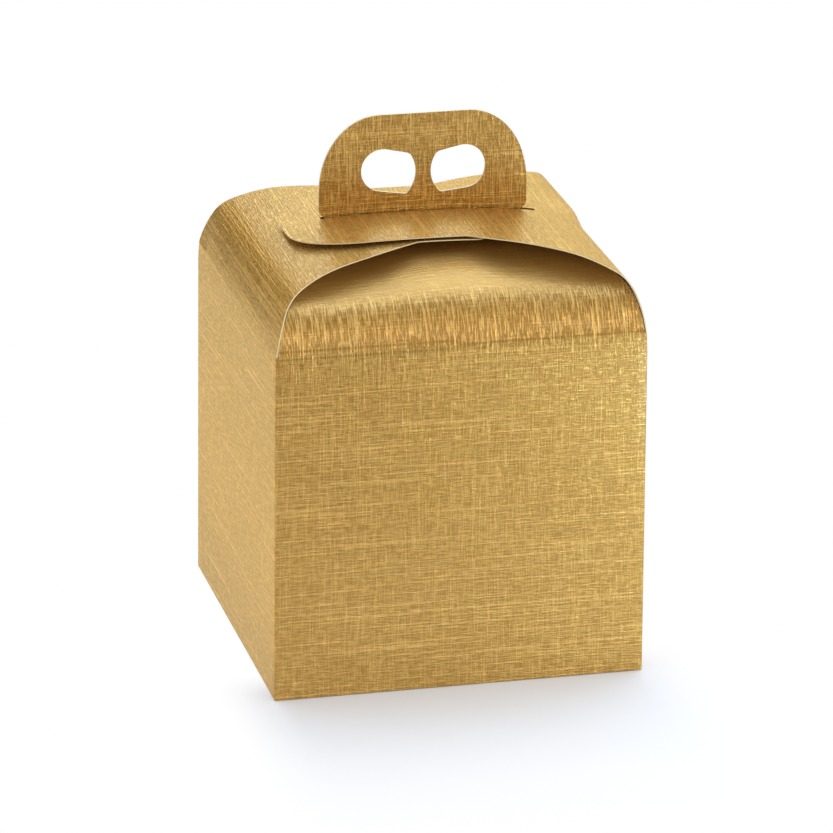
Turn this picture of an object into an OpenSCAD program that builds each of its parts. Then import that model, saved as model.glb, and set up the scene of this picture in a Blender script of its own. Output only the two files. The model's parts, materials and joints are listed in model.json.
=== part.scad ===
// Folding carton for a panettone: four walls, a snap-lock base, two curved roof flaps that
// overlap, and two handle tabs that stand back to back through slits in the roof flaps.
// Millimetres. +Z is up, the front is at -Y, and the origin is at the middle of the base.

/* [Carton] */
// Outside width, left to right
carton_w = 200; // [194:1:206]
// Outside depth, front to back
carton_d = 200; // [194:1:206]
// Height of the walls, from the base to the roof creases
wall_h = 190; // [120:1:260]
// Thickness of the board
board = 0.6; // [0.4:0.1:0.7]
// Width of the glued flap inside the rear right corner
glue_w = 16; // [10:1:24]

/* [Roof flaps] */
// Length of the steep shoulder of a roof flap, from its crease
shoulder_run = 20; // [18:1:22]
// Length of the tight bend above the shoulder
bend_run = 14; // [12:1:16]
// Length of the slope above the bend
slope_run = 28; // [25:1:31]
// Length over which the slope fades into the ridge
fade_run = 30; // [27:1:33]
// Slope of the lower flap at its crease, in degrees
lower_crease_slope = 82; // [79:1:83]
// Slope of the upper flap at its crease, in degrees
upper_crease_slope = 85; // [84:1:87]
// Slope where the lower flap's shoulder meets its tight bend, in degrees
shoulder_slope = 63; // [60:1:64]
// Slope where the upper flap's shoulder meets its tight bend, in degrees
upper_shoulder_slope = 64; // [63:1:66]
// Slope above the tight bend, in degrees
bend_slope = 28; // [26:1:30]
// Slope where the ridge begins, in degrees
ridge_slope = 8; // [7:1:9]
// Slope where the ridge ends and the tongue begins to level, in degrees
fade_slope = 2; // [1.5:0.5:2.5]
// Length of the lower tongue beyond the ridge
lower_tongue_run = 64; // [63:1:66]
// Slope at the end of the lower tongue, in degrees
lower_tongue_slope = -4.8; // [-5.2:0.1:-4.6]
// Length of the upper tongue's level stretch beyond the ridge
upper_level_run = 72; // [70:1:74]
// Slope at the end of that stretch, in degrees
upper_level_slope = -1; // [-1.4:0.1:-0.8]
// Length of the upper tongue's drooping end
upper_droop_run = 42; // [41:1:44]
// Slope at the end of the droop, in degrees
upper_droop_slope = -15.4; // [-16:0.2:-12]
// Extra shoulder length that lifts the upper flap over the lower one
upper_lift = 1; // [0.8:0.1:1.6]
// Distance from the crease, along the flap, to the corner where its tongue begins
tongue_start = 107.5; // [104:0.5:110]
// Width of the tongues
tongue_w = 95; // [88:1:100]
// Reach of the upper tongue past the middle of the carton
upper_reach = 75; // [70:1:78]
// Corner radius of the upper tongue
upper_corner = 37; // [20:1:42]
// Reach of the forked lower tongue past the middle of the carton
lower_reach = 28; // [20:1:29]
// Corner radius of the forked lower tongue
lower_corner = 9; // [2:1:14]
// Width of the slits that the handle passes through
slit_w = 2.2; // [2.1:0.1:4]
// Left end of the upper flap's slit, from the middle
slit_left = 65; // [64:0.5:67]
// Right end of the upper flap's slit, from the middle
slit_right = 63; // [61:0.5:66]
// Left end of the lower flap's slit, from the middle
lower_slit_left = 60; // [59:0.5:62]

/* [Handle flaps] */
// Slope of a handle flap at its crease, in degrees
inner_crease_slope = 80; // [78:1:82]
// Slope where its shoulder meets its bend, in degrees
inner_shoulder_slope = 56; // [54:1:57]
// Slope above its bend, in degrees
inner_bend_slope = 24; // [22:1:25]
// Slope where it levels out, in degrees
inner_level_slope = 5; // [4:1:6]
// Slope beside the handle, in degrees
inner_neck_slope = 1; // [0.5:0.5:1.5]
// Length by which its shoulder is shorter than a roof flap's
inner_short = 1; // [0.8:0.1:1.4]
// Inset of its side edges from the walls at the crease
inner_crease_inset = 1.1; // [0.8:0.1:1.6]
// Inset of its side edges at the top of the shoulder
inner_shoulder_inset = 7; // [5:1:9]
// Inset of its side edges at the top of the slope
inner_slope_inset = 28; // [24:1:32]
// Inset of its side edges beside the handle
inner_neck_inset = 43; // [40:1:44]

/* [Handle] */
// Height of the handle's top edge above the roof creases
handle_rise = 96; // [88:1:104]
// Height of the handle's crease above the roof creases
handle_crease = 43; // [43:0.1:44]
// Greatest width of the handle
handle_w = 113; // [108:1:114]
// Radius of the handle's upper corners
handle_corner = 35; // [24:1:40]
// Width of the neck where it passes through the slits
neck_w = 106; // [98:1:107]
// How far the handle sits to the right of the middle
handle_shift = 2.2; // [0:0.1:2.4]
// Height of the finger holes' middle above the handle's crease
hole_rise = 21; // [19:1:24]
// Distance from the handle's middle to the middle of a finger hole
hole_offset = 21.5; // [20:0.5:23]
// Gap between the two handle tabs
seam_gap = 0.3; // [0.2:0.1:0.4]

/* [Base] */
// Depth of the main base flap, from the back wall
main_base_depth = 130; // [120:1:150]
// Depth of the lock flap, from the front wall to its tab
lock_base_depth = 98; // [90:1:104]
// Width of the lock flap's tab
lock_tab_w = 72; // [50:1:76]
// Length of the lock flap's tab beyond the slit
lock_tab_run = 20; // [12:1:28]
// Reach of the two side base flaps
side_base_depth = 60; // [40:1:61]

/* [Hidden] */
$fn = 96;
gold = [0.77, 0.61, 0.33];
shade_gold = [0.66, 0.50, 0.25];
inside_white = [0.93, 0.92, 0.88];
glue_cream = [0.90, 0.85, 0.70];

half_w = carton_w / 2;
half_d = carton_d / 2;
// Clear distance between layers of board, and the gap left at a hinged crease
layer_gap = 0.2;
crease_gap = 0.15;
// Clear distance between the edge of a base flap and the wall or slit beside it
side_gap = 1;
// How far a cut runs past the board that it goes through
cut_margin = 1;
// A bent sheet is drawn with one facet for each of these degrees of turn
facet_turn = 2.5;
// Degrees between the points of a tongue's rounded corner
arc_turn = 5;
// Height that covers every roof flap above the wall tops
roof_cover = 60;

// Distances from a crease to the ends of the stretches that follow it
function knots(runs) = [for (k = 0, s = 0; k < len(runs); s = s + runs[k], k = k + 1) s + runs[k]];

// Bends: pairs of distance from the crease and slope there, in degrees. The slope changes
// evenly between pairs, so each stretch is an arc.
lower_knots = knots([shoulder_run, bend_run, slope_run, fade_run, lower_tongue_run]);
lower_bend = [
    [crease_gap, lower_crease_slope],
    [lower_knots[0], shoulder_slope],
    [lower_knots[1], bend_slope],
    [lower_knots[2], ridge_slope],
    [lower_knots[3], fade_slope],
    [lower_knots[4], lower_tongue_slope],
];
upper_knots = knots([
    shoulder_run + upper_lift, bend_run, slope_run, fade_run, upper_level_run, upper_droop_run,
]);
upper_bend = [
    [crease_gap, upper_crease_slope],
    [upper_knots[0], upper_shoulder_slope],
    [upper_knots[1], bend_slope],
    [upper_knots[2], ridge_slope],
    [upper_knots[3], fade_slope],
    [upper_knots[4], upper_level_slope],
    [upper_knots[5], upper_droop_slope],
];
// The handle flaps run under the roof flaps, a little lower and flatter
inner_knots = knots([shoulder_run - inner_short, bend_run - 2 * inner_short, slope_run, fade_run]);
inner_end = half_d + shoulder_run;
inner_bend = [
    [crease_gap, inner_crease_slope],
    [inner_knots[0], inner_shoulder_slope],
    [inner_knots[1], inner_bend_slope],
    [inner_knots[2], inner_level_slope],
    [inner_knots[3], inner_neck_slope],
    [inner_end, 0],
];
// Half widths of a handle flap against the distance from its crease
inner_widths = [
    [0, half_w - inner_crease_inset],
    [inner_knots[0], half_w - inner_shoulder_inset],
    [inner_knots[2], half_w - inner_slope_inset],
    [inner_end, half_w - inner_neck_inset],
];

// Heights of the layers of the base, from the lock flap up to its tab
lock_z = 0;
side_z = board + layer_gap;
main_z = 2 * side_z;
tab_z = 3 * side_z;
// The lock flap's tab climbs a ramp through the main flap's slit
ramp_run = 5;
base_slit = 4;
ramp_y = lock_base_depth - half_d;
ramp_foot = ramp_y - 1;
base_w = carton_w - 2 * (board + side_gap);
base_d = carton_d - 2 * (board + side_gap);

// Height of the handle's crease above the floor
crease_z = wall_h + handle_crease;

function stops(bend) = concat(
    [for (k = [0 : len(bend) - 2])
        let (parts = max(1, ceil(abs(bend[k + 1][1] - bend[k][1]) / facet_turn)))
        for (part = [0 : parts - 1])
            bend[k][0] + part / parts * (bend[k + 1][0] - bend[k][0])],
    [bend[len(bend) - 1][0]]);
function heading(bend, s) = let (slope = lookup(s, bend)) [cos(slope), sin(slope)];
function step_along(bend, from, to) = (to - from) * heading(bend, (from + to) / 2);
// Places along a bent sheet: distance from the crease, inward, upward
function sheet_path(bend) = let (at = stops(bend))
    [for (k = 0, p = at[0] * heading(bend, at[0]);
          k < len(at);
          p = p + (k + 1 < len(at) ? step_along(bend, at[k], at[k + 1]) : [0, 0]), k = k + 1)
        [at[k], p[0], p[1]]];
function inner_face(bend, p) = [p[1], p[2]] + board * [heading(bend, p[0])[1], -heading(bend, p[0])[0]];
function inward_at(path, s) = lookup(s, [for (p = path) [p[0], p[1]]]);
// Half width of a roof flap below its tongue
function roof_half(s) = half_d - (half_d - tongue_w / 2) * s / tongue_start;
function mirrored(points) = [for (k = [len(points) - 1 : -1 : 0]) [points[k][0], -points[k][1]]];

// A sheet bent over its crease: the crease lies on the Y axis and the sheet runs to +X
module bent_sheet(bend) {
    path = sheet_path(bend);
    back = [for (k = [len(path) - 1 : -1 : 0]) inner_face(bend, path[k])];
    rotate([90, 0, 0])
        linear_extrude(height = max(carton_w, carton_d), center = true)
            polygon(concat([for (p = path) [p[1], p[2]]], back));
}

// The same sheet cut to the plan outline that is given as a child
module bent_flap(bend) {
    intersection() {
        bent_sheet(bend);
        translate([0, 0, -cut_margin])
            linear_extrude(height = roof_cover)
                children();
    }
}

// One side of a roof flap's plan outline, from its crease to the tip of its tongue
function roof_side(path, tip, corner) = concat(
    [[0, roof_half(path[0][0])]],
    [for (p = path) if (p[0] > path[0][0] && p[0] < tongue_start) [p[1], roof_half(p[0])]],
    [[inward_at(path, tongue_start), tongue_w / 2]],
    [for (turn = [90 : -arc_turn : 0])
        [tip - corner, tongue_w / 2 - corner] + corner * [cos(turn), sin(turn)]]);

module roof_plan(bend, tip, corner) {
    side = roof_side(sheet_path(bend), tip, corner);
    polygon(concat(side, mirrored(side)));
}

module inner_plan() {
    path = sheet_path(inner_bend);
    edge = half_d - seam_gap / 2;
    side = concat(
        [for (p = path) if (p[1] < edge) [p[1], lookup(p[0], inner_widths)]],
        [[edge, half_w - inner_neck_inset]]);
    polygon(concat(side, mirrored(side)));
}

// One wall, mitred at both ends, with its outside face on -Y
module wall(length, reach) {
    translate([0, -reach, 0])
        linear_extrude(height = wall_h)
            polygon([
                [-length / 2, 0], [length / 2, 0],
                [length / 2 - board, board], [board - length / 2, board],
            ]);
}

module front_panel() {
    color(gold)
        wall(carton_w, half_d);
}

module back_panel() {
    color(gold)
        rotate(180)
            wall(carton_w, half_d);
}

module left_panel() {
    color(gold)
        rotate(-90)
            wall(carton_d, half_w);
}

module right_panel() {
    color(gold)
        rotate(90)
            wall(carton_d, half_w);
}

// Flap from the back wall, glued to the inside of the right wall
module glue_flap() {
    taper = 8;
    foot = 6;
    rise = wall_h - 2 * foot;
    color(inside_white)
        translate([half_w - board - layer_gap, half_d - board, foot])
            rotate([90, 0, -90])
                linear_extrude(height = board)
                    polygon([[0, 0], [glue_w, taper], [glue_w, rise - taper], [0, rise]]);
}

module glue_line() {
    side_margin = 3;
    end_margin = 20;
    color(glue_cream)
        translate([half_w - board - layer_gap, half_d - board - glue_w + side_margin, end_margin])
            cube([layer_gap, glue_w - 2 * side_margin, wall_h - 2 * end_margin]);
}

module main_base_flap() {
    taper = 6;
    crossing = ramp_y + ramp_run * main_z / tab_z;
    color(inside_white)
        translate([0, 0, main_z])
            linear_extrude(height = board)
                difference() {
                    polygon([
                        [-base_w / 2, half_d - board], [base_w / 2, half_d - board],
                        [base_w / 2 - taper, half_d - main_base_depth],
                        [taper - base_w / 2, half_d - main_base_depth],
                    ]);
                    translate([0, crossing + board / 2])
                        square([lock_tab_w + 2 * side_gap, base_slit], center = true);
                }
}

// Side view of the lock flap's tab: flat, up the ramp, then flat on the main flap
function tab_profile() = let (top = ramp_y + ramp_run, tip = top + lock_tab_run) [
    [ramp_foot, lock_z], [ramp_y, lock_z], [top, tab_z], [tip, tab_z],
    [tip, tab_z + board], [top - board / 2, tab_z + board],
    [ramp_y - board / 2, board], [ramp_foot, board],
];

module lock_base_flap() {
    taper = 30;
    color(gold) {
        linear_extrude(height = board)
            polygon([
                [-base_w / 2, board - half_d], [base_w / 2, board - half_d],
                [base_w / 2 - taper, ramp_foot], [taper - base_w / 2, ramp_foot],
            ]);
        rotate([90, 0, 90])
            linear_extrude(height = lock_tab_w, center = true)
                polygon(tab_profile());
    }
}

module side_base_plan() {
    taper = 22;
    polygon([
        [board - half_w, -base_d / 2], [board - half_w, base_d / 2],
        [side_base_depth - half_w, base_d / 2 - taper],
        [side_base_depth - half_w, taper - base_d / 2],
    ]);
}

module left_base_flap() {
    color(inside_white)
        translate([0, 0, side_z])
            linear_extrude(height = board)
                side_base_plan();
}

module right_base_flap() {
    color(inside_white)
        translate([0, 0, side_z])
            linear_extrude(height = board)
                rotate(180)
                    side_base_plan();
}

// Outline of one handle tab above its crease, with the crease on the X axis
module handle_outline() {
    top = handle_rise - handle_crease;
    flat = handle_w / 2 - handle_corner;
    difference() {
        union() {
            translate([-handle_w / 2, 0])
                square([handle_w, top - handle_corner]);
            translate([-flat, 0])
                square([2 * flat, top]);
            for (side = [-1, 1])
                translate([side * flat, top - handle_corner])
                    circle(r = handle_corner);
        }
        translate([-handle_w, crease_gap - handle_w])
            square([2 * handle_w, handle_w]);
    }
}

// Finger hole on the right of the handle: a round lobe outside, a flatter bow towards the middle
module finger_hole() {
    lobe_r = 12;
    lobe_at = [1, 2];
    bow_r = 16.5;
    bow_at = [-1, 0];
    // Upper and lower edges between the lobe and the bow
    edges = [[1, 14], [-13, 10.5], [-20, 9.5], [-20, -13.5], [-13, -12.3], [1, -9.9]];
    translate([hole_offset, hole_rise]) {
        translate(lobe_at)
            circle(r = lobe_r);
        intersection() {
            translate(bow_at)
                circle(r = bow_r);
            polygon(edges);
        }
    }
}

module handle_tab() {
    rotate([90, 0, 0])
        linear_extrude(height = board)
            difference() {
                handle_outline();
                finger_hole();
                mirror([1, 0])
                    finger_hole();
            }
}

module front_handle() {
    color(shade_gold)
        translate([handle_shift, -seam_gap / 2, crease_z])
            handle_tab();
}

module back_handle() {
    color(shade_gold)
        translate([handle_shift, seam_gap / 2 + board, crease_z])
            handle_tab();
}

// Neck of a handle tab, from the end of its flap up to the handle's crease
module neck(near_face) {
    path = sheet_path(inner_bend);
    flap_z = lookup(half_d, [for (p = path) [p[1], p[2]]]);
    foot = wall_h + flap_z - board;
    corner = 3;
    translate([handle_shift, near_face, 0])
        rotate([90, 0, 0])
            linear_extrude(height = board) {
                translate([-neck_w / 2, foot])
                    square([neck_w, crease_z - foot]);
                translate([corner - handle_w / 2, crease_z - corner])
                    square([handle_w - 2 * corner, corner]);
                for (side = [-1, 1])
                    intersection() {
                        translate([side * (handle_w / 2 - corner), crease_z])
                            circle(r = corner);
                        translate([-handle_w / 2, crease_z - corner])
                            square([handle_w, corner]);
                    }
            }
}

module front_handle_flap() {
    color(gold) {
        translate([0, -half_d, wall_h])
            rotate(90)
                bent_flap(inner_bend)
                    inner_plan();
        neck(-seam_gap / 2);
    }
}

module back_handle_flap() {
    color(gold) {
        translate([0, half_d, wall_h])
            rotate(-90)
                bent_flap(inner_bend)
                    inner_plan();
        neck(seam_gap / 2 + board);
    }
}

// The lower flap ends in a fork: its slit is open at the tip
module left_roof_flap() {
    tip = half_w + lower_reach;
    slit_from = half_w - lower_slit_left;
    color(gold)
        translate([-half_w, 0, wall_h])
            bent_flap(lower_bend)
                difference() {
                    roof_plan(lower_bend, tip, lower_corner);
                    translate([slit_from, -slit_w / 2])
                        square([tip - slit_from + cut_margin, slit_w]);
                }
}

module right_roof_flap() {
    tip = half_w + upper_reach;
    color(gold)
        translate([half_w, 0, wall_h])
            rotate(180)
                bent_flap(upper_bend)
                    difference() {
                        roof_plan(upper_bend, tip, upper_corner);
                        translate([half_w - slit_right, -slit_w / 2])
                            square([slit_right + slit_left, slit_w]);
                    }
}

front_panel();
back_panel();
left_panel();
right_panel();
glue_flap();
glue_line();
main_base_flap();
lock_base_flap();
left_base_flap();
right_base_flap();
front_handle_flap();
back_handle_flap();
front_handle();
back_handle();
left_roof_flap();
right_roof_flap();
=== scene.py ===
"""A panettone carton of gold linen-embossed board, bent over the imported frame."""

import json
import math

import bpy
import numpy as np
from mathutils import Matrix, Vector
from mathutils.geometry import intersect_point_line


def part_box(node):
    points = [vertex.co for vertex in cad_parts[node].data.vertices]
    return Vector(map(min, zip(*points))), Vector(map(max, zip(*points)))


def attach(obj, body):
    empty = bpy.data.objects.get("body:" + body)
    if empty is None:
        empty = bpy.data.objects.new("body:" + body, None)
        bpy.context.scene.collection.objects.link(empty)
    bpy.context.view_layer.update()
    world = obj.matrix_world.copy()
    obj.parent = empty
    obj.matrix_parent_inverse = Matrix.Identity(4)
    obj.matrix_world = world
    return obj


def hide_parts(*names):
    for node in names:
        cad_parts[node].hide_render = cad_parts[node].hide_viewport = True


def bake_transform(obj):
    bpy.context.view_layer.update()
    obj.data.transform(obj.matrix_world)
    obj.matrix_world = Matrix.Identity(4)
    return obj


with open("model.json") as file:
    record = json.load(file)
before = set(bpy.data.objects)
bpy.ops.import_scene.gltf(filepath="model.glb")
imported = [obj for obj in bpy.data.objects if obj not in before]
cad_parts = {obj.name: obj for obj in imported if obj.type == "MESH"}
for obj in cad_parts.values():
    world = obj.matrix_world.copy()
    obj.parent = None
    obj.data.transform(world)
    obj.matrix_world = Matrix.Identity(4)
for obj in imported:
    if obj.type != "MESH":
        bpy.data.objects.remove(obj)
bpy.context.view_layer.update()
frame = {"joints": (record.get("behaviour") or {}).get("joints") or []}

# Sizes, in metres, read from the frame
MM = 0.001
LEFT_LOW, LEFT_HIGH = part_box("left_panel")
BOARD = LEFT_HIGH.x - LEFT_LOW.x
HALF_W = -LEFT_LOW.x
HALF_D = LEFT_HIGH.y
WALL_H = LEFT_HIGH.z
HANDLE_LOW, HANDLE_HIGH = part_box("front_handle")
HANDLE_X = (HANDLE_LOW.x + HANDLE_HIGH.x) / 2
HANDLE_HALF = (HANDLE_HIGH.x - HANDLE_LOW.x) / 2
HANDLE_CREASE = next(j["pos_m"][2] for j in frame["joints"] if j["name"] == "front_handle_crease")
# Half the gap between the two handle tabs
SEAM = -HANDLE_HIGH.y
# The walls lean in, to this share of their width at the roof creases, and curve in just below them
LEAN = 0.992
CURVE_H = 12 * MM
CURVE_IN = 0.5 * MM

# How finely the sheets are divided: strips across each kind, and rows along the bent flaps
WALL_COLUMNS = 40
FLAP_COLUMNS = 48
SMALL_COLUMNS = 24
GLUE_COLUMNS = 30
ROW_STEP = 2.5 * MM

# Where each side's crease lies, and how far a sheet that runs inward from it along +X is turned
SIDES = {
    "left": (Vector((-HALF_W, 0, WALL_H)), 0),
    "right": (Vector((HALF_W, 0, WALL_H)), 180),
    "front": (Vector((0, -HALF_D, WALL_H)), 90),
    "back": (Vector((0, HALF_D, WALL_H)), -90),
}
# Where each side's stretch of the blank begins, so that no two sides show the same threads
BLANK_START = {"front": 0.0, "right": 0.23, "back": 0.47, "left": 0.71}


def mm(*lengths):
    """Lengths that are written in mm, in metres."""
    return tuple(length * MM for length in lengths)


class Socket:
    """A socket of a shader: arithmetic on it adds Math nodes, and node() adds any other node."""

    def __init__(self, tree, link=None):
        self.tree = tree
        self.link = link

    def node(self, kind, settings=None, inputs=None, output=0):
        """Adds a node: its settings first, then a value or a link for each of its sockets."""
        made = self.tree.nodes.new(kind)
        for name, value in (settings or {}).items():
            if name == "stops":
                self.fill_ramp(made.color_ramp, value)
            else:
                setattr(made, name, value)
        for name, value in (inputs or {}).items():
            if isinstance(value, Socket):
                self.tree.links.new(value.link, made.inputs[name])
            else:
                made.inputs[name].default_value = value
        return Socket(self.tree, made.outputs[output] if made.outputs else None)

    @staticmethod
    def fill_ramp(ramp, stops):
        while len(ramp.elements) < len(stops):
            ramp.elements.new(1.0)
        for element, (position, shade) in zip(ramp.elements, stops):
            element.position = position
            element.color = (*shade, 1.0)

    def other(self, output):
        """Another output of the node that this socket comes from."""
        return Socket(self.tree, self.link.node.outputs[output])

    def math(self, operation, first, second=0.0):
        return self.node("ShaderNodeMath", {"operation": operation}, {0: first, 1: second})

    def __add__(self, number):
        return self.math("ADD", self, number)

    __radd__ = __add__

    def __sub__(self, number):
        return self.math("SUBTRACT", self, number)

    def __rsub__(self, number):
        return self.math("SUBTRACT", number, self)

    def __mul__(self, number):
        return self.math("MULTIPLY", self, number)

    __rmul__ = __mul__

    def __truediv__(self, number):
        return self.math("DIVIDE", self, number)

    def __abs__(self):
        return self.math("ABSOLUTE", self)

    def above(self, low, high):
        """0 below low, 1 above high, and smooth between them."""
        return self.node(
            "ShaderNodeMapRange",
            {"interpolation_type": "SMOOTHSTEP"},
            {"Value": self, "From Min": low, "From Max": high},
        )

    def within(self, begin, end):
        """1 between two spans, smooth over each of them, and 0 outside."""
        return self.above(*begin) * (1 - self.above(*end))

    def noise(self, size, detail, roughness=0.5):
        """Noise at this place, from 0 to 1, whose blots are about as large as size."""
        inputs = {"Vector": self, "Scale": 1 / size, "Detail": detail, "Roughness": roughness}
        return self.node("ShaderNodeTexNoise", inputs=inputs)

    def between(self, share, other):
        """This colour, and as much of another one as share says."""
        inputs = {0: share, 6: self, 7: other}
        return self.node("ShaderNodeMix", {"data_type": "RGBA"}, inputs, output=2)

    def ramp(self, stops):
        """A colour that runs through stops of (value, colour)."""
        return self.node("ShaderNodeValToRGB", {"stops": stops}, {"Fac": self})

    def tint(self, dark, light):
        """A colour that goes from dark to light as this value goes from 0 to 1."""
        return self.ramp([(0.0, dark), (1.0, light)])


def new_material(name):
    material = bpy.data.materials.new(name)
    material.use_nodes = True
    material.node_tree.nodes.clear()
    return material, Socket(material.node_tree)


def finish_material(start, surface):
    start.node("ShaderNodeOutputMaterial", inputs={"Surface": surface})


def paint(start, inputs):
    """Finishes a material with one Principled shader."""
    finish_material(start, start.node("ShaderNodeBsdfPrincipled", inputs=inputs))


# Linen emboss: lengths and widths of its threads on the board, its grain and its depth
FINE_LENGTH = 7 * MM
FINE_PITCH = 0.85 * MM
FINE_SHARE = 0.45
LEVEL_SLUB = 90 * MM
UPRIGHT_SLUB = 26 * MM
SLUB_PITCH = 1.05 * MM
DRIFT_PITCH = 20 * MM
WANDER = 0.8 * MM
GRAIN_SIZE = 0.9 * MM
GRAIN_SHARE = 0.15
EMBOSS = 0.4 * MM
# How much of the weave is level threads, and how far the mark "lay" of a piece shifts that
LEVEL_SHARE = 0.55
LAY_SHIFT = 0.35
# How much of the emboss the mark "press" takes away, and the height it leaves
PRESSED = 0.7
PRESSED_HEIGHT = 0.35
# Gold in the hollows, partly print and partly painted shade, and on the threads, partly worn print and
# partly painted highlight; the size of its soft clouds; and half the painted shade line at a crease
HOLLOW_GOLD_AND_SHADE = (0.36, 0.186, 0.035)
THREAD_GOLD_AND_HIGHLIGHT = (0.85, 0.528, 0.165)
CLOUD_SIZE = 60 * MM
CREASE_SHADE_LINE = (0.3 * MM, 1.0 * MM)


def threads(along, across, length, pitch, seed):
    """Uneven threads: noise that is long along a thread and narrow across it."""
    inputs = {"X": along / length, "Y": across / pitch, "Z": seed}
    return along.node("ShaderNodeCombineXYZ", inputs=inputs).noise(1.0, 1.5, 0.55)


def one_way(along, across, slub_length, seed):
    """Threads that run one way: fine ones all over, and thick slubs here and there."""
    drift = threads(along, across, slub_length, DRIFT_PITCH, seed + 5.3)
    bent = across + (drift - 0.5) * WANDER
    fine = threads(along, bent, FINE_LENGTH, FINE_PITCH, seed)
    slub = threads(along, bent, slub_length, SLUB_PITCH, seed + 2.7)
    return fine.above(0.42, 0.58) * FINE_SHARE + slub.above(0.54, 0.63) * (1 - FINE_SHARE)


def gold_linen():
    """Satin gold print on board that is embossed like linen."""
    material, start = new_material("gold_linen")
    board = start.node("ShaderNodeUVMap", {"uv_map": "board"})
    around = board.node("ShaderNodeSeparateXYZ", inputs={"Vector": board})
    upward = around.other("Y")
    press = start.node("ShaderNodeAttribute", {"attribute_name": "press"}, output="Fac")
    lay = start.node("ShaderNodeAttribute", {"attribute_name": "lay"}, output="Fac")
    level = one_way(around, upward, LEVEL_SLUB, 1.0) * (LEVEL_SHARE - lay * LAY_SHIFT)
    upright = one_way(upward, around, UPRIGHT_SLUB, 11.0) * (1 - LEVEL_SHARE + lay * LAY_SHIFT)
    weave = level + upright + board.noise(GRAIN_SIZE, 2.0) * GRAIN_SHARE
    relief = weave * (1 - press * PRESSED) + press * PRESSED_HEIGHT
    # Where upright threads lead, near a crease, the threads' painted shade and highlight grow stronger,
    # and a painted shade line darkens the crease itself
    painted_contrast = lay.math("MAXIMUM", lay, 0.0)
    crease = 1 - abs(upward - WALL_H).above(*CREASE_SHADE_LINE)
    shade = relief * (0.9 + painted_contrast * 0.6) - painted_contrast * 0.27 - painted_contrast * crease * 0.35
    cloud = board.noise(CLOUD_SIZE, 2.0)
    bump = relief.node("ShaderNodeBump", inputs={"Strength": 1.0, "Distance": EMBOSS, "Height": relief})
    # Base colour follows the relief: darker hollows and lighter threads, partly print and partly painted
    # shade and highlight
    paint(start, {
        "Base Color": (shade + cloud * 0.1 + 0.05).tint(HOLLOW_GOLD_AND_SHADE, THREAD_GOLD_AND_HIGHLIGHT),
        "Metallic": 0.72,
        "Roughness": 0.35 - relief * 0.06,
        "Specular Tint": (1.0, 0.86, 0.4, 1.0),
        "Coat Weight": 0.16,
        "Coat Roughness": 0.2,
        "Normal": bump,
    })
    return material


def white_board():
    """The plain white inside of the board, with faint fibres."""
    material, start = new_material("white_board")
    fibre = start.node("ShaderNodeTexCoord", output="Object").noise(1.4 * MM, 4.0, 0.7)
    bump = fibre.node("ShaderNodeBump", inputs={"Strength": 0.35, "Distance": 0.05 * MM, "Height": fibre})
    paint(start, {
        "Base Color": fibre.tint((0.76, 0.74, 0.69), (0.86, 0.85, 0.81)),
        "Roughness": 0.72 + fibre * 0.15,
        "Normal": bump,
    })
    return material


def cut_edge():
    """The cut edge of the board: pale core with a little of the print drawn over it."""
    material, start = new_material("cut_edge")
    ply = start.node("ShaderNodeTexCoord", output="Object").noise(2.5 * MM, 3.0)
    paint(start, {
        "Base Color": ply.tint((0.88, 0.69, 0.39), (0.95, 0.82, 0.53)),
        "Roughness": 0.6 + ply * 0.2,
    })
    return material


def dried_glue():
    """Dried yellowish glue, duller where it is paler."""
    material, start = new_material("dried_glue")
    smear = start.node("ShaderNodeTexCoord", output="Object").noise(6 * MM, 3.0)
    paint(start, {
        "Base Color": smear.tint((0.68, 0.60, 0.42), (0.86, 0.80, 0.64)),
        "Roughness": 0.3 + smear * 0.3,
    })
    return material


GOLD = gold_linen()
WHITE = white_board()
CUT = cut_edge()
GLUE = dried_glue()
# Places of gold, white and cut edge among the materials of a piece of board
PRINTED = 0
INSIDE = 1
RIM = 2


class Bend:
    """A sheet bent over its crease: its slope changes evenly between knots of (run, degrees)."""

    STEP = 0.25 * MM

    def __init__(self, knots):
        knot_runs = [run * MM for run, _ in knots]
        slopes = [math.radians(slope) for _, slope in knots]
        self.runs = np.arange(0.0, knot_runs[-1], self.STEP)
        middle = np.interp(self.runs[:-1] + self.STEP / 2, knot_runs, slopes)
        self.inward = CURVE_IN + np.concatenate(([0.0], np.cumsum(np.cos(middle)) * self.STEP))
        self.up = np.concatenate(([0.0], np.cumsum(np.sin(middle)) * self.STEP))

    def at_run(self, run):
        """(run, inward, up) at a distance along the sheet."""
        inward = np.interp(run, self.runs, self.inward)
        return float(run), float(inward), float(np.interp(run, self.runs, self.up))

    def at_inward(self, inward):
        """(run, inward, up) at a distance in from the crease."""
        return self.at_run(np.interp(inward, self.inward, self.runs))

    def at_up(self, up):
        """Distance in from the crease at a height above it, on the way up."""
        crest = int(np.argmax(self.up))
        return float(np.interp(up, self.up[:crest], self.inward[:crest]))


def read_off(table, run):
    """A length at a run, read off a table of (run, length) in mm."""
    return float(np.interp(run / MM, *zip(*table))) * MM


def pick(piece, mode, test):
    """In edit mode, selects the vertices, edges or faces whose middle passes the test."""
    bpy.ops.object.mode_set(mode="EDIT")
    bpy.ops.mesh.select_mode(type=mode)
    bpy.ops.mesh.select_all(action="DESELECT")
    bpy.ops.object.mode_set(mode="OBJECT")
    mesh = piece.data
    if mode == "VERT":
        for vertex in mesh.vertices:
            vertex.select = test(vertex.co)
    elif mode == "EDGE":
        for edge in mesh.edges:
            edge.select = all(test(mesh.vertices[k].co) for k in edge.vertices)
    else:
        for face in mesh.polygons:
            face.select = test(face.center)
    bpy.ops.object.mode_set(mode="EDIT")


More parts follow.
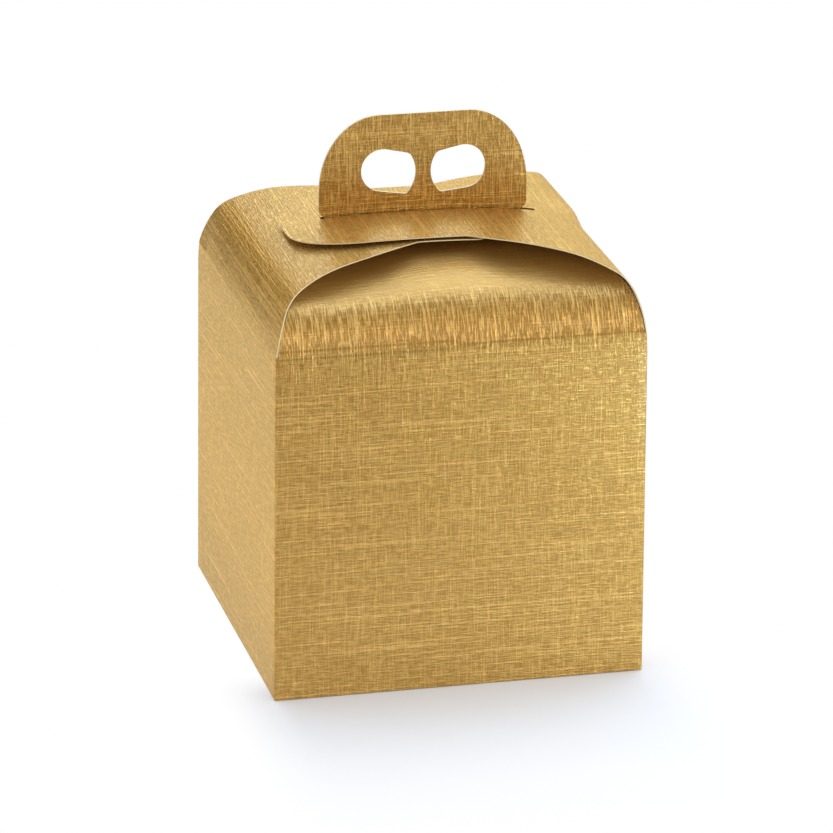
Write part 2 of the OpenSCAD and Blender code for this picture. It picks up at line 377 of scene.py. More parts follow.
def pull_sheet(name, rows, columns, outside, blank_start):
    """A sheet pulled out of an edge along Y: rows are (run, inward, up, half width, middle)."""
    bpy.ops.object.select_all(action="DESELECT")
    bpy.ops.mesh.primitive_grid_add(x_subdivisions=1, y_subdivisions=columns, size=2)
    piece = bpy.context.object
    piece.name = name
    pick(piece, "VERT", lambda co: co.x > 0)
    bpy.ops.mesh.delete(type="VERT")
    bpy.ops.mesh.select_all(action="SELECT")
    _, inward, up, half, middle = rows[0]
    bpy.ops.transform.resize(value=(1, half, 1), center_override=(0, 0, 0))
    bpy.ops.transform.translate(value=(inward + 1, middle, up))
    bpy.ops.mesh.select_mode(type="EDGE")
    for row, following in zip(rows, rows[1:]):
        _, inward, up, half, middle = row
        _, next_inward, next_up, next_half, next_middle = following
        step = (next_inward - inward, next_middle - middle, next_up - up)
        bpy.ops.mesh.extrude_edges_move(TRANSFORM_OT_translate={"value": step})
        bpy.ops.transform.resize(value=(1, next_half / half, 1), center_override=(0, next_middle, 0))
    bpy.ops.object.mode_set(mode="OBJECT")
    if piece.data.polygons[0].normal.dot(Vector(outside)) < 0:
        bpy.ops.object.mode_set(mode="EDIT")
        bpy.ops.mesh.select_all(action="SELECT")
        bpy.ops.mesh.flip_normals()
        bpy.ops.object.mode_set(mode="OBJECT")
    unroll(piece, [row[0] for row in rows], columns + 1, blank_start)
    return piece


def unroll(piece, runs, row_size, blank_start):
    """Maps the sheet to its place on the flat blank, in metres: around the carton, and up it."""
    mesh = piece.data
    while mesh.uv_layers:
        mesh.uv_layers.remove(mesh.uv_layers[0])
    layer = mesh.uv_layers.new(name="board")
    for loop in mesh.loops:
        run = runs[loop.vertex_index // row_size]
        around = blank_start + mesh.vertices[loop.vertex_index].co.y
        layer.data[loop.index].uv = (around, WALL_H + run)


# How far beyond a slit the faces are cut along with it
SLIT_MARGIN = 9 * MM


def cut_slit(piece, from_x, to_x, half_width):
    """Cuts a straight slit along X in the middle of a sheet."""

    def beside(co, half):
        return from_x - SLIT_MARGIN < co.x < to_x + SLIT_MARGIN and abs(co.y) < half

    for y in (-half_width, half_width):
        pick(piece, "FACE", lambda co: beside(co, half_width + SLIT_MARGIN))
        bpy.ops.mesh.bisect(plane_co=(0, y, 0), plane_no=(0, 1, 0))
    for x in (from_x, to_x):
        pick(piece, "FACE", lambda co: beside(co, half_width))
        bpy.ops.mesh.bisect(plane_co=(x, 0, 0), plane_no=(1, 0, 0))
    pick(piece, "FACE", lambda co: from_x < co.x < to_x and abs(co.y) < half_width)
    bpy.ops.mesh.delete(type="FACE")
    bpy.ops.object.mode_set(mode="OBJECT")


def mark(piece, name, values):
    """Gives a piece's vertices numbers that its material reads: one for all, or one for each."""
    marks = piece.data.attributes.new(name, "FLOAT", "POINT")
    for spot, value in zip(marks.data, np.broadcast_to(values, len(marks.data))):
        spot.value = value


def place(piece, matrix):
    """Puts a piece in its place and leaves its object at the origin."""
    bpy.ops.object.select_all(action="DESELECT")
    piece.select_set(True)
    bpy.context.view_layer.objects.active = piece
    piece.matrix_world = matrix
    bpy.ops.object.transform_apply(location=True, rotation=True, scale=True)


def place_side(piece, side, drop=0.0):
    """Puts a sheet at its side's roof crease, or below it by drop."""
    at, turn = SIDES[side]
    turned = Matrix.Rotation(math.radians(turn), 4, "Z")
    place(piece, Matrix.Translation(at - Vector((0, 0, drop))) @ turned)


# How near to a line a vertex lies that is pushed with it, and how far past its ends, as a share of it
PUSH_WIDTH = 2.0 * MM
PUSH_PAST = 0.01


def push(piece, start, end, by, reach):
    """Nudges the board along a line of its mesh, fading out over reach, as a hand would."""
    first, last = Vector(start), Vector(end)

    def near(co):
        on_line, share = intersect_point_line(co, first, last)
        return -PUSH_PAST < share < 1 + PUSH_PAST and (co - on_line).length < PUSH_WIDTH

    pick(piece, "VERT", near)
    bpy.ops.transform.translate(
        value=by, use_proportional_edit=True, proportional_edit_falloff="SMOOTH", proportional_size=reach
    )
    bpy.ops.object.mode_set(mode="OBJECT")


def lean(piece):
    """Draws a piece above the roof creases in, as the walls lean in a little towards their tops."""
    pick(piece, "VERT", lambda co: True)
    bpy.ops.transform.resize(value=(LEAN, LEAN, 1), center_override=(0, 0, 0))
    bpy.ops.object.mode_set(mode="OBJECT")


def lean_wall(piece):
    """Draws the top of a wall in, less and less down to its foot."""
    top = max(vertex.co.z for vertex in piece.data.vertices)
    pick(piece, "VERT", lambda co: co.z > top - 0.01 * MM)
    share = 1 + (LEAN - 1) * top / WALL_H
    bpy.ops.transform.resize(
        value=(share, share, 1), center_override=(0, 0, 0),
        use_proportional_edit=True, proportional_edit_falloff="LINEAR", proportional_size=top,
    )
    bpy.ops.object.mode_set(mode="OBJECT")


def apply_modifier(piece, kind, **settings):
    bpy.context.view_layer.objects.active = piece
    modifier = piece.modifiers.new(kind.lower(), kind)
    for name, value in settings.items():
        setattr(modifier, name, value)
    bpy.ops.object.modifier_apply(modifier=modifier.name)


def print_over(piece, test):
    """Runs the print over those rims that pass the test, such as a fold, which isn't a cut."""
    for face in piece.data.polygons:
        if face.material_index == RIM and test(face.center):
            face.material_index = PRINTED


# Edges that turn by less than this many degrees are smooth
SMOOTH_TURN = 38


def thicken(piece):
    """Gives a sheet its board: print outside, white inside, and pale cut edges."""
    for material in (GOLD, WHITE, CUT):
        piece.data.materials.append(material)
    apply_modifier(
        piece, "SOLIDIFY", thickness=BOARD, offset=-1, use_even_offset=True,
        material_offset=INSIDE, material_offset_rim=RIM,
    )
    bpy.ops.object.select_all(action="DESELECT")
    piece.select_set(True)
    bpy.ops.object.shade_smooth_by_angle(angle=math.radians(SMOOTH_TURN))
    print_over(piece, lambda co: abs(co.z - WALL_H) < BOARD)


# Which threads show: level ones at -1, both at 0, upright ones at 1; above 0 the threads' painted shade
# and highlight also grow stronger, and a crease gets a painted shade line
ROOF_LAY = -0.6
WALL_LAY = -0.25
TAB_LAY = 0.5
CREASE_LAY = 0.7
# Height below a crease over which the front and back walls come to its lay
CREASE_BAND = 14 * MM

# Walls: soft folds at the upright corners and along the base, by the degrees turned in each step
FOLD = 0.8 * MM
CORNER_TURNS = (22.5, 45.0)
BASE_TURNS = (22.5, 45.0, 67.5, 90.0)
CURVE_ROWS = 6
WALL_ROWS = 34


def wall_rows(half):
    """Rows of a wall, from its roof crease down, and round the fold at its base."""
    drop = WALL_H - FOLD
    curved = [CURVE_H * k / CURVE_ROWS for k in range(CURVE_ROWS)]
    rows = []
    for down in curved + list(np.linspace(CURVE_H, drop, WALL_ROWS)):
        inward = CURVE_IN * max(0.0, 1 - down / CURVE_H) ** 2
        rows.append((-down, inward, -down, half - FOLD - inward, 0.0))
    for turn in BASE_TURNS:
        angle = math.radians(turn)
        inward = FOLD * (1 - math.cos(angle))
        up = -drop - FOLD * math.sin(angle)
        rows.append((-drop - FOLD * angle, inward, up, half - FOLD, 0.0))
    return rows


def fold_corners(piece, half):
    """Carries a wall round to the middle of the fold at each of its upright corners."""
    for way in (-1, 1):
        pick(piece, "EDGE", lambda co: co.y * way > half - FOLD - CURVE_IN - 0.01 * MM)
        spot = Vector((0, 0))
        for turn in CORNER_TURNS:
            angle = math.radians(turn)
            corner = FOLD * Vector((1 - math.cos(angle), math.sin(angle)))
            step = corner - spot
            bpy.ops.mesh.extrude_edges_move(TRANSFORM_OT_translate={"value": (step.x, step.y * way, 0)})
            spot = corner
        bpy.ops.object.mode_set(mode="OBJECT")


def wall(side, half):
    """One wall, pulled down from its roof crease and folded under at the base."""
    piece = pull_sheet(f"{side}_wall", wall_rows(half), WALL_COLUMNS, (-1, 0, 0), BLANK_START[side])
    fold_corners(piece, half)
    place_side(piece, side)
    lean_wall(piece)
    if side in ("left", "right"):
        mark(piece, "lay", ROOF_LAY)
    else:
        heights = [vertex.co.z for vertex in piece.data.vertices]
        mark(piece, "lay", np.interp(heights, (WALL_H - CREASE_BAND, WALL_H), (WALL_LAY, CREASE_LAY)))
    thicken(piece)
    # Of the walls, only the right one has a cut edge, at the glued corner
    print_over(piece, lambda co: side != "right" or co.y < HALF_D - 2 * BOARD)
    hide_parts(f"{side}_panel")
    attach(piece, "carton")


# Roof flaps: (run in mm, slope in degrees), then their outlines in plan
LOWER_BEND = Bend([(0, 81.5), (10, 72), (20, 63), (34, 28), (62, 8), (92, 2), (156, -4.8)])
UPPER_BEND = Bend([(0, 84.3), (4, 82.6), (22, 64.8), (35, 28), (63, 8), (93, 2), (158, -1), (207, -16.5)])
LOWER_TIP = HALF_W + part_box("left_roof_flap")[1].x
UPPER_TIP = HALF_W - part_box("right_roof_flap")[0].x
LOWER_CORNER = 9 * MM
UPPER_CORNER = 37 * MM
TONGUE_START = 107.5 * MM
TONGUE_HALF = 47.5 * MM
# Half widths, (run, half) in mm, from the crease to the tongue
LOWER_HALVES = [
    (0, 99.8), (6.4, 98.5), (11.4, 96.8), (15.2, 95), (19, 92.6), (22, 90.5), (28.5, 86.5), (33, 84),
    (41, 80.3), (48.5, 77.2), (56, 74), (63, 70.6), (77.6, 63.6), (92, 56.2), (107.5, 47.5),
]
UPPER_HALVES = [
    (0, 99.8), (10, 97.6), (20, 94.7), (28, 91.3), (38, 86.5), (46, 81.7), (60, 73.6), (73, 66),
    (85, 59.6), (95, 54.6), (107.5, 47.5),
]
# How much narrower each flap is behind the handle than in front, by run in mm
LOWER_SHORT = [(0, 0)]
UPPER_SHORT = [(20, 0), (42, 6), (207, 5)]
# The slits for the handle, from and to a distance in from each flap's crease
LOWER_SLIT = (HALF_W - 56 * MM, LOWER_TIP + 5 * MM)
UPPER_SLIT = (HALF_W - 64 * MM, HALF_W + 54 * MM)
SLIT_HALF = 1.7 * MM
# The rims of the upper slit lie within this of the carton's middle, in X and in Y
SLIT_RIMS = (70 * MM, 2 * MM)
# Bends left by hands: a line on the left flap, its nudge, and how far that fades out
LEFT_PUSHES = (
    (mm(-84, -79, 219), mm(-15, -54, 230.6), mm(0, 0, 1), 45 * MM),
    (mm(-97, 86, 201), mm(-97, 96, 201), mm(0.9, 0, -0.2), 16 * MM),
)
# The right flap bulges along its shoulder, behind the handle
SHOULDER_RUN = 30 * MM
SHOULDER_BACK = mm(32, 88)
BULGE = mm(2.2, 0, 1.7)
BULGE_REACH = 30 * MM


def roof_rows(bend, halves, tip, corner, short):
    """Rows of a roof flap; short is how much narrower it is behind than in front, by run."""
    count = int(bend.at_inward(tip - corner)[0] / ROW_STEP)
    rows = []
    for k in range(count):
        run, inward, up = bend.at_run(k * ROW_STEP)
        rows.append((run, inward, up, read_off(halves, run), 0.0))
    kink = min(range(count), key=lambda k: abs(rows[k][0] - TONGUE_START))
    run, inward, up = bend.at_run(TONGUE_START)
    rows[kink] = (run, inward, up, TONGUE_HALF, 0.0)
    for turn in range(0, 91, 6):
        angle = math.radians(turn)
        run, inward, up = bend.at_inward(tip - corner + corner * math.sin(angle))
        rows.append((run, inward, up, TONGUE_HALF - corner + corner * math.cos(angle), 0.0))
    for k, (run, inward, up, half, _) in enumerate(rows):
        cut = min(half, read_off(short, run) / 2)
        rows[k] = (run, inward, up, half - cut, cut)
    return rows


def left_roof():
    """The lower roof flap, whose slit runs out through its tip."""
    rows = roof_rows(LOWER_BEND, LOWER_HALVES, LOWER_TIP, LOWER_CORNER, LOWER_SHORT)
    piece = pull_sheet("left_roof", rows, FLAP_COLUMNS, (-1, 0, 0), BLANK_START["left"])
    cut_slit(piece, *LOWER_SLIT, SLIT_HALF)
    mark(piece, "lay", ROOF_LAY)
    place_side(piece, "left")
    for start, end, by, reach in LEFT_PUSHES:
        push(piece, start, end, by, reach)
    lean(piece)
    thicken(piece)
    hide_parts("left_roof_flap")
    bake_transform(piece)


def right_roof():
    """The upper roof flap, with a closed slit whose rims mirror the dark below them."""
    rows = roof_rows(UPPER_BEND, UPPER_HALVES, UPPER_TIP, UPPER_CORNER, UPPER_SHORT)
    piece = pull_sheet("right_roof", rows, FLAP_COLUMNS, (-1, 0, 0), BLANK_START["right"])
    cut_slit(piece, *UPPER_SLIT, SLIT_HALF)
    mark(piece, "lay", ROOF_LAY)
    place_side(piece, "right")
    _, inward, up = UPPER_BEND.at_run(SHOULDER_RUN)
    ends = [(HALF_W - inward, back, WALL_H + up) for back in SHOULDER_BACK]
    push(piece, *ends, BULGE, BULGE_REACH)
    lean(piece)
    thicken(piece)
    print_over(piece, lambda co: abs(co.x) < SLIT_RIMS[0] and abs(co.y) < SLIT_RIMS[1])
    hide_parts("right_roof_flap")
    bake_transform(piece)


# Handle flaps: they run under the roof flaps to the foot of the handle
INNER_BEND = Bend([(0, 76), (5, 69.5), (19, 57.5), (31, 24), (59, 5), (89, 1), (125, 0)])
INNER_TAPER = [(0, 100), (28, 96), (45, 88), (70, 76), (125, 57)]
INNER_GAP = 0.4 * MM
# Runs between which the emboss is pressed out, on the level part
PRESS_RUNS = (24 * MM, 36 * MM)
# Each flap sags to both sides of the middle: the ends of a line in mm to the side, outward and up
SAG_ENDS = ((40, 62, 221.6), (76, 70, 220.2))
SAG = mm(0, 0, -3)
SAG_REACH = 36 * MM


def inner_reach(run, up, roof):
    """How far a handle flap reaches to one side: it clears that roof flap, then tapers to the handle."""
    under_roof = HALF_W - roof.at_up(up) - BOARD - INNER_GAP
    return min(under_roof, read_off(INNER_TAPER, run))


def inner_rows(facing):
    """Rows of a handle flap, from its crease to the foot of its tab."""
    end_run = INNER_BEND.at_inward(HALF_D - SEAM - BOARD)[0]
    count = int(end_run / ROW_STEP) + 1
    rows = []
    for k in range(count + 1):
        run, inward, up = INNER_BEND.at_run(end_run * k / count)
        left = inner_reach(run, up, LOWER_BEND)
        right = inner_reach(run, up, UPPER_BEND)
        rows.append((run, inward, up, (left + right) / 2, facing * (right - left) / 2))
    return rows


def inner_flap(side):
    """The flap that bends in from the front or back crease and ends at a handle tab."""
    facing = math.copysign(1, SIDES[side][0].y)
    rows = inner_rows(facing)
    piece = pull_sheet(f"{side}_inner_flap", rows, FLAP_COLUMNS, (-1, 0, 0), BLANK_START[side])
    runs = [rows[vertex.index // (FLAP_COLUMNS + 1)][0] for vertex in piece.data.vertices]
    mark(piece, "press", np.interp(runs, PRESS_RUNS, (0, 1)))
    mark(piece, "lay", np.interp(runs, PRESS_RUNS, (1, ROOF_LAY)))
    place_side(piece, side)
    for way in (-1, 1):
        ends = [mm(way * aside, facing * outward, up) for aside, outward, up in SAG_ENDS]
        push(piece, *ends, SAG, SAG_REACH)
    lean(piece)
    thicken(piece)
    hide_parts(f"{side}_handle_flap")
    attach(piece, "carton")


# Handle tabs: neck, ears on the roof, and a rounded top with two finger holes
NECK_HALF = 53 * MM
NECK_FOOT = 223 * MM
NECK_GAP = 0.2 * MM
EAR_FOOT = 231.2 * MM
EAR_CORNER = 4.5 * MM
SIDE_ROWS = 5
TOP_CORNER_W = 32 * MM
TOP_CORNER_H = 40 * MM
# The right ear droops: a line along its foot, from HANDLE_X, its nudge, and how far that fades out
DROOP_LINE = mm(44, 57)
DROOP = mm(0, 0, -1.8)
DROOP_REACH = 42 * MM
# A finger hole is a round lobe and a flatter bow, both placed from HOLE_AT
HOLE_AT = Vector((21.5, 21.0)) * MM
LOBE_AT = Vector((0.7, 1.6)) * MM
LOBE_R = 11.6 * MM
BOW_AT = Vector((-1, 0)) * MM
BOW_R = 16.5 * MM
# Straight cuts that trim the bow: a point of each in mm from HOLE_AT, and the way out of the hole
BOW_CUTS = (
    ((-13, 10.5), (-0.212, 0.977)),
    ((-13, -12.3), (0.155, -0.988)),
    ((-1.75, 12.94), (0.983, 0.183)),
    ((-13.68, 10.0), (-0.527, 0.85)),
    ((-12.03, -11.79), (-0.289, -0.957)),
)
HOLE_ROUNDS = ((LOBE_AT, LOBE_R, ()), (BOW_AT, BOW_R, BOW_CUTS))
CUTTER_SIDES = 96
CUTTER_DEPTH = 20 * MM


def handle_rows():
    """Rows up a handle tab, from the foot of its neck to its top."""
    rows = [(NECK_FOOT, NECK_HALF), (EAR_FOOT - NECK_GAP, NECK_HALF)]
    for turn in (0, 30, 60, 90):
        angle = math.radians(turn)
        rise = EAR_CORNER * (1 - math.cos(angle))
        rows.append((EAR_FOOT + rise, HANDLE_HALF - EAR_CORNER + EAR_CORNER * math.sin(angle)))
    ear_top = rows[-1][0]
    shoulder = HANDLE_HIGH.z - TOP_CORNER_H
    for k in range(1, SIDE_ROWS):
        rows.append((ear_top + (shoulder - ear_top) * k / SIDE_ROWS, HANDLE_HALF))
    for turn in range(0, 91, 6):
        angle = math.radians(turn)
        narrower = TOP_CORNER_W * (1 - math.cos(angle))
        rows.append((shoulder + TOP_CORNER_H * math.sin(angle), HANDLE_HALF - narrower))
    return [(z - WALL_H, 0.0, z - WALL_H, half, 0.0) for z, half in rows]


def hole_cutter(way, at, radius, cuts):
    """A round cutter for a finger hole, in the handle's own plane, trimmed by straight cuts."""
    bpy.ops.object.select_all(action="DESELECT")
    spot = HOLE_AT + at
    bpy.ops.mesh.primitive_cylinder_add(
        vertices=CUTTER_SIDES, radius=radius, depth=CUTTER_DEPTH, rotation=(0, math.pi / 2, 0),
        location=(0, spot.x * way, HANDLE_CREASE - WALL_H + spot.y),
    )
    cutter = bpy.context.object
    bpy.ops.object.transform_apply(location=True, rotation=True, scale=True)
    for (x, z), (out_x, out_z) in cuts:
        point = HOLE_AT + Vector((x, z)) * MM
        pick(cutter, "FACE", lambda co: True)
        bpy.ops.mesh.bisect(
            plane_co=(0, point.x * way, HANDLE_CREASE - WALL_H + point.y),
            plane_no=(0, out_x * way, out_z), use_fill=True, clear_outer=True,
        )
        bpy.ops.object.mode_set(mode="OBJECT")
    cutter.data.materials.append(CUT)
    return cutter


def carry_tab(side):
    """One of the two tabs that stand through the slits as the handle."""
    piece = pull_sheet(f"{side}_carry_tab", handle_rows(), SMALL_COLUMNS, (-1, 0, 0), BLANK_START[side])
    mark(piece, "lay", TAB_LAY)
    thicken(piece)
    for way in (-1, 1):
        for cutter in [hole_cutter(way, *hole_round) for hole_round in HOLE_ROUNDS]:
            apply_modifier(
                piece, "BOOLEAN", operation="DIFFERENCE", object=cutter, solver="EXACT",
                material_mode="TRANSFER",
            )
            bpy.data.objects.remove(cutter)
    at, turn = SIDES[side]
    spot = Vector((HANDLE_X, math.copysign(SEAM + BOARD, at.y), WALL_H))
    place(piece, Matrix.Translation(spot) @ Matrix.Rotation(math.radians(turn), 4, "Z"))
    push(piece, *[(HANDLE_X + aside, 0, EAR_FOOT) for aside in DROOP_LINE], DROOP, DROOP_REACH)
    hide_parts(f"{side}_handle")
    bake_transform(piece)


# Base flaps, in mm, lie in layers: the lock flap lowest, then the side flaps, then the main flap
BASE_IN = 0.9
BASE_HALF = 98.4
LAYER = 0.8
LOCK_LIFT = 2.4
LOCK_HALF = 36
SIDE_BASE = [(BASE_IN, LAYER, BASE_HALF), (60, LAYER, 76.4)]
# Each has its wall and an outline of (inward from the wall, height, half width) in mm
BASE_FLAPS = {
    "main": ("back", [(BASE_IN, 2 * LAYER, BASE_HALF), (130, 2 * LAYER, 92.4)]),
    "left": ("left", SIDE_BASE),
    "right": ("right", SIDE_BASE),
    "lock": ("front", [
        (BASE_IN, 0, BASE_HALF), (97, 0, 68.4), (97.3, 0, LOCK_HALF), (98, 0, LOCK_HALF),
        (103, LOCK_LIFT, LOCK_HALF), (121, LOCK_LIFT, LOCK_HALF), (123, LOCK_LIFT, 34),
    ]),
}
# The main flap is cut finer for its slit, through which the lock flap's tab passes
MAIN_CUTS = 7
LOCK_SLIT = (HALF_D - 3.6 * MM, HALF_D + 0.4 * MM)
LOCK_SLIT_HALF = 37 * MM


def base_flap(name):
    """One flap of the snap-lock base, pulled inward from the foot of its wall."""
    side, outline = BASE_FLAPS[name]
    rows = []
    run = -WALL_H
    before = outline[0]
    for stop in outline:
        run -= math.hypot(stop[0] - before[0], stop[1] - before[1]) * MM
        rows.append((run, stop[0] * MM, stop[1] * MM, stop[2] * MM, 0.0))
        before = stop
    piece = pull_sheet(f"{name}_base", rows, SMALL_COLUMNS, (0, 0, -1), BLANK_START[side])
    if name == "main":
        pick(piece, "FACE", lambda co: True)
        bpy.ops.mesh.subdivide(number_cuts=MAIN_CUTS)
        bpy.ops.object.mode_set(mode="OBJECT")
        cut_slit(piece, *LOCK_SLIT, LOCK_SLIT_HALF)
    place_side(piece, side, drop=WALL_H)
    thicken(piece)
    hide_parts(f"{name}_base_flap")
    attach(piece, "carton")


GLUE_TAPER = 8 * MM


def glue_tab():
    """The back wall's flap inside the right wall, narrower towards its free end."""
    low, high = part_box("glue_flap")
    half = (high.z - low.z) / 2
    reach = high.y - low.y
    rows = [(0.0, 0.0, 0.0, half, 0.0), (reach, reach, 0.0, half - GLUE_TAPER, 0.0)]
    piece = pull_sheet("glue_tab", rows, GLUE_COLUMNS, (0, 0, -1), BLANK_START["back"] + HALF_D)
    # Its run points forward, its width stands up, and its outside faces the right wall
    turned = Matrix(((0, 0, -1, high.x), (-1, 0, 0, high.y), (0, 1, 0, low.z + half), (0, 0, 0, 1)))
    place(piece, turned)
    lean_wall(piece)
    thicken(piece)
    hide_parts("glue_flap")
    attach(piece, "carton")


def glue_strip():
    """The glue between that tab and the right wall, leaning with them."""
    low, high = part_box("glue_line")
    bpy.ops.object.select_all(action="DESELECT")
    bpy.ops.mesh.primitive_cube_add(size=1, location=(low + high) / 2, scale=high - low)
    piece = bpy.context.object
    piece.name = "glue_strip"
    bpy.ops.object.transform_apply(location=True, rotation=True, scale=True)
    lean_wall(piece)
    piece.data.materials.append(GLUE)
    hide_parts("glue_line")
    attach(piece, "carton")


for wall_side in ("front", "back"):
    wall(wall_side, HALF_W)
for wall_side in ("left", "right"):
    wall(wall_side, HALF_D)
left_roof()
right_roof()
for flap_side in ("front", "back"):
    inner_flap(flap_side)
    carry_tab(flap_side)
for flap_name in BASE_FLAPS:
    base_flap(flap_name)
glue_tab()
glue_strip()


# Floor: a round of paper just below the base
FLOOR_RADIUS = 2.4
FLOOR_SIDES = 160
FLOOR_DROP = 0.2 * MM
TOOTH_SIZE = 25 * MM
# Zones of the paper, in metres from the carton's middle: each span is where one fades in or out
SHADOW_AHEAD = ((0.06, 0.1), (0.10, 0.30))
SHADOW_SIDE = (0.09, 0.13)
FAR_AHEAD = ((0.38, 0.55), (0.80, 1.10))
FAR_SIDE = (0.15, 0.23)
CALM_AHEAD = (0.08, 0.35)
DIM_AHEAD = (0.22, 0.45)
WARM_AHEAD = (0.25, 0.40)
RIGHT_SIDE = (0.125, 0.165)
BEHIND = (0.55, 1.10)
# How light the paper is, and its colours beside the carton and ahead, where the warmer colour is painted
# shade
PAPER_TONE = 0.83
NEAR_PAPER = (0.985, 0.965, 0.945)
FAR_PAPER_WARM_SHADE = (1.0, 0.80, 0.61)
BLACK = (0, 0, 0)


def white_paper():
    """Paper that the camera sees white, but for the shadow, and that the gold mirrors dimmer ahead, where
    it is painted darker and warmer.
    """
    material, start = new_material("white_paper")
    spot = start.node("ShaderNodeTexCoord", output="Object")
    across = spot.node("ShaderNodeSeparateXYZ", inputs={"Vector": spot})
    ahead = across.other("Y") * -1
    sideways = abs(across)
    right = across.above(*RIGHT_SIDE)
    behind = 1 - across.other("Y").above(*BEHIND) * 0.75
    shadow = ahead.within(*SHADOW_AHEAD) * (1 - sideways.above(*SHADOW_SIDE))
    far = ahead.within(*FAR_AHEAD) * (1 - sideways.above(*FAR_SIDE))
    calm = 1 - ahead.above(*CALM_AHEAD) * (0.95 - right * 0.4)
    path = start.node("ShaderNodeLightPath", output="Is Camera Ray")
    mirrored = path.other("Is Glossy Ray") + path.other("Is Transmission Ray")
    seen = (path + mirrored * calm * behind * (1 - far * 0.93)) * (1 - shadow * 0.9)
    # Painted shade on the paper: darker ahead (less so to the right), far ahead and far behind, and
    # warmer ahead, so the gold mirrors a dim warm room there
    dim = ahead.above(*DIM_AHEAD) * (0.42 - right * 0.30)
    tone = (PAPER_TONE - dim) * (1 - far * 0.55) * behind + spot.noise(TOOTH_SIZE, 3.0) * 0.03
    near_paper = tone.tint(BLACK, NEAR_PAPER)
    colour = near_paper.between(ahead.above(*WARM_AHEAD), tone.tint(BLACK, FAR_PAPER_WARM_SHADE))
    paper = start.node("ShaderNodeBsdfPrincipled", inputs={"Base Color": colour, "Roughness": 0.9})
    white = start.node("ShaderNodeEmission", inputs={"Color": (1, 1, 1, 1), "Strength": 1.0})
    finish_material(start, start.node("ShaderNodeMixShader", inputs={0: seen, 1: paper, 2: white}))
    return material


def floor():
    bpy.ops.object.select_all(action="DESELECT")
    bpy.ops.mesh.primitive_circle_add(
        vertices=FLOOR_SIDES, radius=FLOOR_RADIUS, fill_type="NGON", location=(0, 0, -FLOOR_DROP)
    )
    paper_sheet = bpy.context.object
    paper_sheet.name = "floor"
    paper_sheet.data.materials.append(white_paper())


# Glow of the room by height, from straight down at 0 over the horizon at 0.5 to straight up at 1
GLOW = 2.2
TENT = (0.72, 0.85, 1.05)
LOW_TENT = (1.14, 1.27, 1.52)
ZENITH = (0.75, 0.92, 1.22)
SIDE_TENT = (0.73, 0.81, 0.93)
ROOM_DARK = (0.045, 0.029, 0.013)
FRONT_GLOW = [
    (0.0, ROOM_DARK), (0.545, ROOM_DARK), (0.61, (0.36, 0.355, 0.34)), (0.66, (0.66, 0.665, 0.655)),
    (0.70, (0.68, 0.685, 0.67)), (0.76, (0.34, 0.32, 0.28)), (0.86, (0.15, 0.135, 0.11)),
    (0.915, (0.27, 0.276, 0.273)), (1.0, ZENITH),
]
BACK_GLOW = [
    (0.0, ROOM_DARK), (0.575, ROOM_DARK), (0.62, (0.28, 0.232, 0.16)), (0.655, LOW_TENT),
    (0.79, TENT), (1.0, ZENITH),
]
RIGHT_GLOW = [
    (0.0, (0.45, 0.385, 0.275)), (0.5, (0.46, 0.40, 0.30)), (0.65, SIDE_TENT), (0.85, SIDE_TENT),
    (1.0, ZENITH),
]
LEFT_GLOW = [
    (0.0, ROOM_DARK), (0.52, ROOM_DARK), (0.58, (0.225, 0.138, 0.047)), (0.63, (0.235, 0.147, 0.055)),
    (0.72, (0.33, 0.26, 0.155)), (1.0, ZENITH),
]
# Where the room passes from front to rear, and its rear to the right and to the left, by direction
REAR_FROM = (-0.3, 0.4)
RIGHT_FROM = (0.12, 0.55)
LEFT_FROM = (0.08, 0.29)
# Lamps: place, aim and size in metres, watts, and colour
LAMPS = {
    "front_window": ((0.42, -1.5, 0.78), (0.02, -0.1, 0.2), (0.5, 0.4), 1.9, (1.0, 0.845, 0.65)),
    "right_card": ((0.26, -0.41, 0.06), (0.08, -0.1, 0.12), (0.12, 0.08), 0.36, (0.6, 0.9, 1.05)),
    "left_sheet": ((-0.24, 0.35, 0.004), (-0.24, 0.35, 1.0), (0.22, 0.9), 0.155, (1.0, 0.84, 0.2)),
}


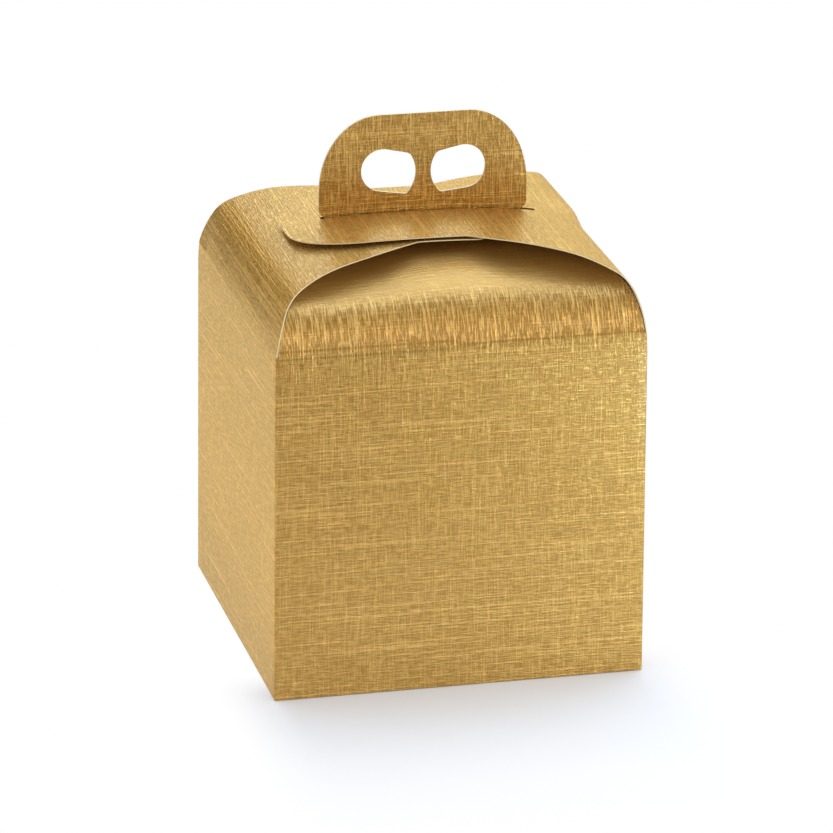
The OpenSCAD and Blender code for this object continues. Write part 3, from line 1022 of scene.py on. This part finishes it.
def softbox(name, at, aim, size, power, tint):
    data = bpy.data.lights.new(name, "AREA")
    data.shape = "RECTANGLE"
    data.size, data.size_y = size
    data.energy = power
    data.color = tint
    lamp = bpy.data.objects.new(name, data)
    bpy.context.scene.collection.objects.link(lamp)
    lamp.location = at
    lamp.rotation_euler = (Vector(aim) - Vector(at)).to_track_quat("-Z", "Y").to_euler()
    lamp.visible_camera = False


def studio():
    """Bright tent above and behind, a dim warm room in front and at the horizon, and three lamps."""
    world = bpy.data.worlds.new("studio")
    bpy.context.scene.world = world
    world.use_nodes = True
    world.node_tree.nodes.clear()
    start = Socket(world.node_tree)
    way = start.node("ShaderNodeTexCoord", output="Generated")
    across = way.node("ShaderNodeSeparateXYZ", inputs={"Vector": way})
    rise = across.other("Z") * 0.5 + 0.5
    rear = rise.ramp(BACK_GLOW).between(across.above(*RIGHT_FROM), rise.ramp(RIGHT_GLOW))
    rear = rear.between((across * -1).above(*LEFT_FROM), rise.ramp(LEFT_GLOW))
    room = rise.ramp(FRONT_GLOW).between(across.other("Y").above(*REAR_FROM), rear)
    light = start.node("ShaderNodeBackground", inputs={"Color": room, "Strength": GLOW})
    start.node("ShaderNodeOutputWorld", inputs={"Surface": light})
    for name, lamp in LAMPS.items():
        softbox(name, *lamp)


# Camera: fitted to the carton's corners in the photograph
AZIMUTH = math.radians(-13.81)
ELEVATION = math.radians(19.78)
ROLL = math.radians(0.51)
DISTANCE = 3.0494
AIM_HEIGHT = 0.1
AIM_RISE = 14.85 * MM
LENS = 245.0
SENSOR = 36
FARTHEST = 50


def camera():
    data = bpy.data.cameras.new("camera")
    data.sensor_width = SENSOR
    data.lens = LENS
    data.clip_end = FARTHEST
    level = math.cos(ELEVATION)
    back = Vector((math.sin(AZIMUTH) * level, -math.cos(AZIMUTH) * level, math.sin(ELEVATION)))
    right = Vector((0, 0, 1)).cross(back).normalized()
    up = back.cross(right)
    turn = Matrix.Rotation(ROLL, 3, back)
    right, up = turn @ right, turn @ up
    spot = Vector((0, 0, AIM_HEIGHT)) + AIM_RISE * up + DISTANCE * back
    view = bpy.data.objects.new("camera", data)
    bpy.context.scene.collection.objects.link(view)
    view.matrix_world = Matrix.Translation(spot) @ Matrix((right, up, back)).transposed().to_4x4()
    bpy.context.scene.camera = view


floor()
studio()
camera()
bpy.context.scene.view_settings.view_transform = "Standard"
